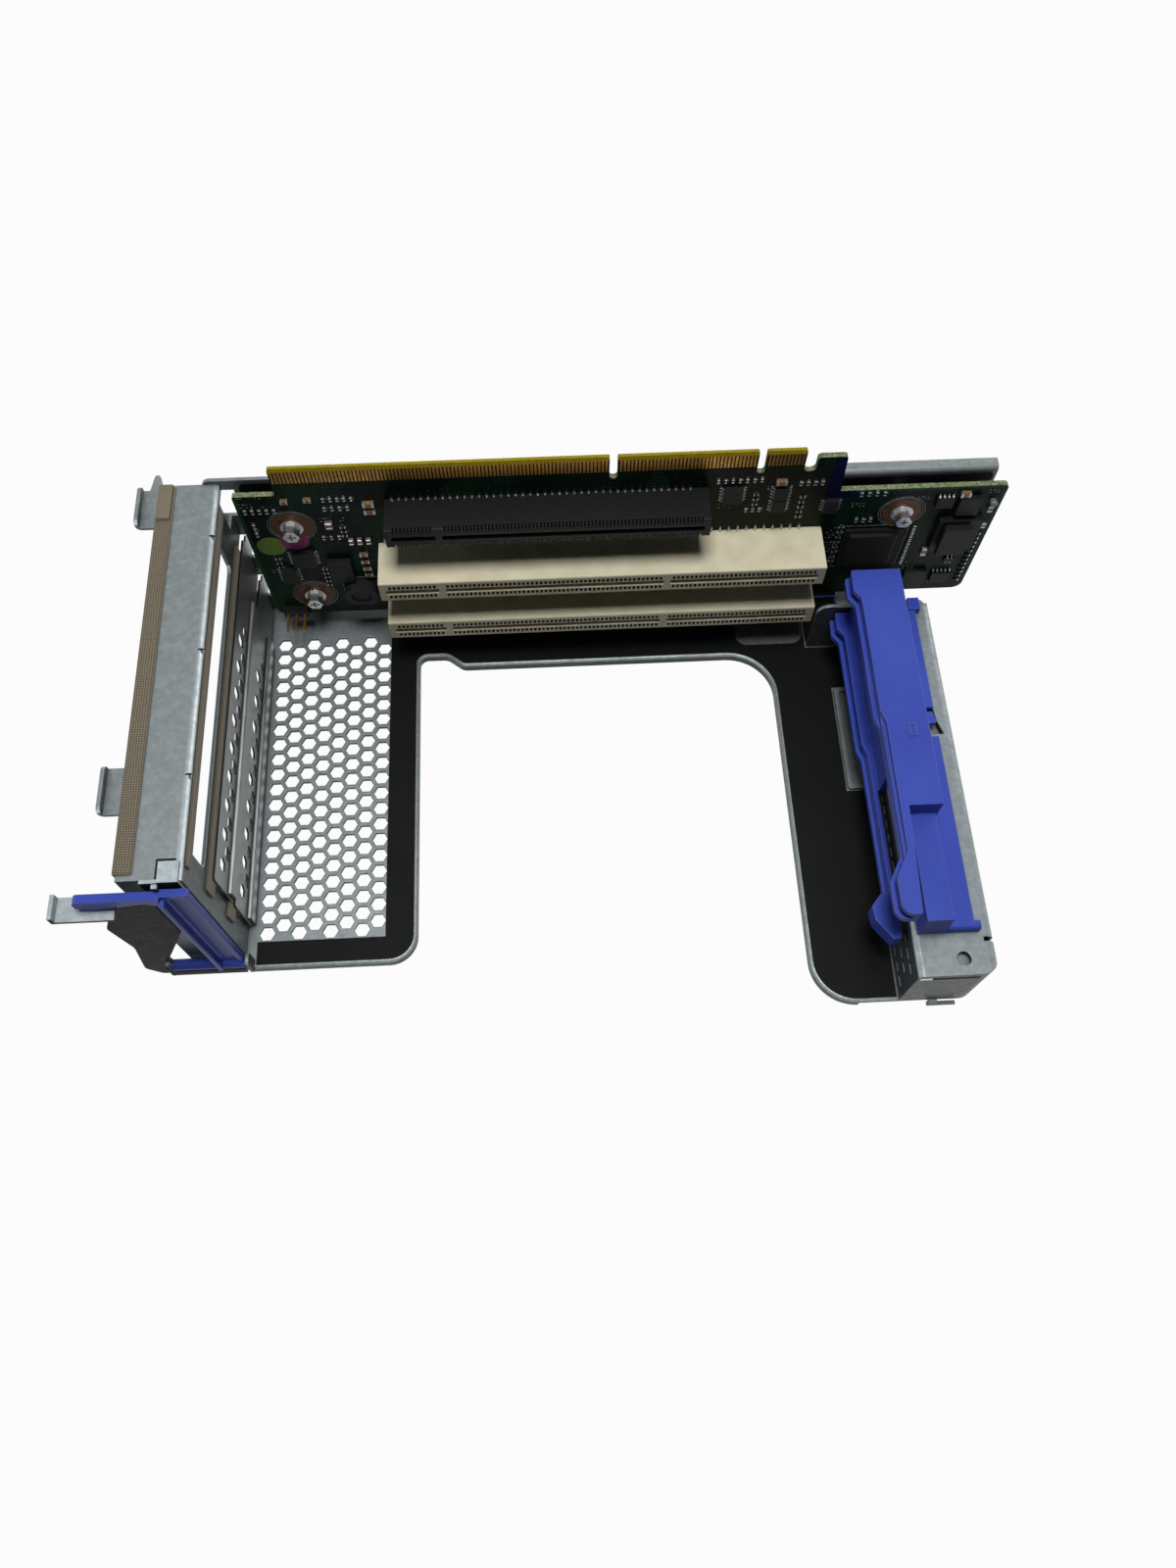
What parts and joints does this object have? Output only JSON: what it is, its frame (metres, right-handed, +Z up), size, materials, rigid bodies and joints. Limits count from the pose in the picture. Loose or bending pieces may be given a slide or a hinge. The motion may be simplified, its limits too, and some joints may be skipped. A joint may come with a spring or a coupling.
{
  "type": "server riser card assembly",
  "caption": "Riser board with card sockets in a folded sheet-metal cage with vented bracket wall, moulded card guide and hinged bracket latch",
  "frame": {"origin": "On the underside of the base plate, below the left ends of the card sockets, in the plane of the board's front face", "axes": "+X along the card sockets away from the bracket wall, +Y from the open front to the back wall, +Z up from the base plate to the board's tongue"},
  "size_m": [0.2521, 0.1449, 0.0779],
  "materials": {
    "galvanized_sheet": "zinc-coated sheet, satin with faint spangle",
    "cover_steel": "plated sheet, satin",
    "pin_steel": "plated, bright",
    "screw_steel": "plated, bright",
    "black_film": "grained polyester film, matte",
    "grey_pad": "soft foam, matte",
    "cloth_gasket": "woven conductive cloth",
    "blue_plastic": "moulded, satin",
    "ivory_plastic": "moulded, satin",
    "black_plastic": "moulded, satin",
    "board_laminate": "solder mask over glass laminate",
    "gold_plating": "gold plated, bright",
    "chip_epoxy": "moulded epoxy, matte",
    "capacitor_tan": "fired, satin"
  },
  "bodies": {
    "cage": {"base_plate": "galvanized_sheet", "base_film": "black_film", "grey_pad": "grey_pad", "back_wall": "galvanized_sheet", "back_film": "black_film", "slot_wall": "galvanized_sheet", "top_gasket": "cloth_gasket", "slot_gaskets": "cloth_gasket", "middle_slot_cover": "cover_steel", "lower_slot_cover": "cover_steel", "latch_bracket": "galvanized_sheet", "latch_pin": "pin_steel", "riser_board": "board_laminate", "edge_contacts": "gold_plating", "standoffs": "pin_steel", "board_screws": "screw_steel", "lower_card_socket": "ivory_plastic", "upper_card_socket": "ivory_plastic", "express_socket": "black_plastic", "lower_socket_contacts": "gold_plating", "upper_socket_contacts": "gold_plating", "express_socket_contacts": "gold_plating", "bridge_chip": "chip_epoxy", "logic_chips": "chip_epoxy", "power_blocks": "chip_epoxy", "inductor": "chip_epoxy", "can_capacitor": "pin_steel", "ceramic_capacitors": "capacitor_tan", "chip_resistors": "chip_epoxy", "pin_header": "black_plastic", "header_pins": "gold_plating", "support_box": "galvanized_sheet", "card_guide": "blue_plastic"},
    "latch": {"bracket_latch": "blue_plastic"}
  },
  "joints": [
    {"name": "latch_hinge", "type": "hinge", "parent": "cage", "child": "latch", "pos_m": [-0.0504, -0.1115, 0.005], "axis": [1, 0, 0], "range_deg": [0, 90]}
  ]
}
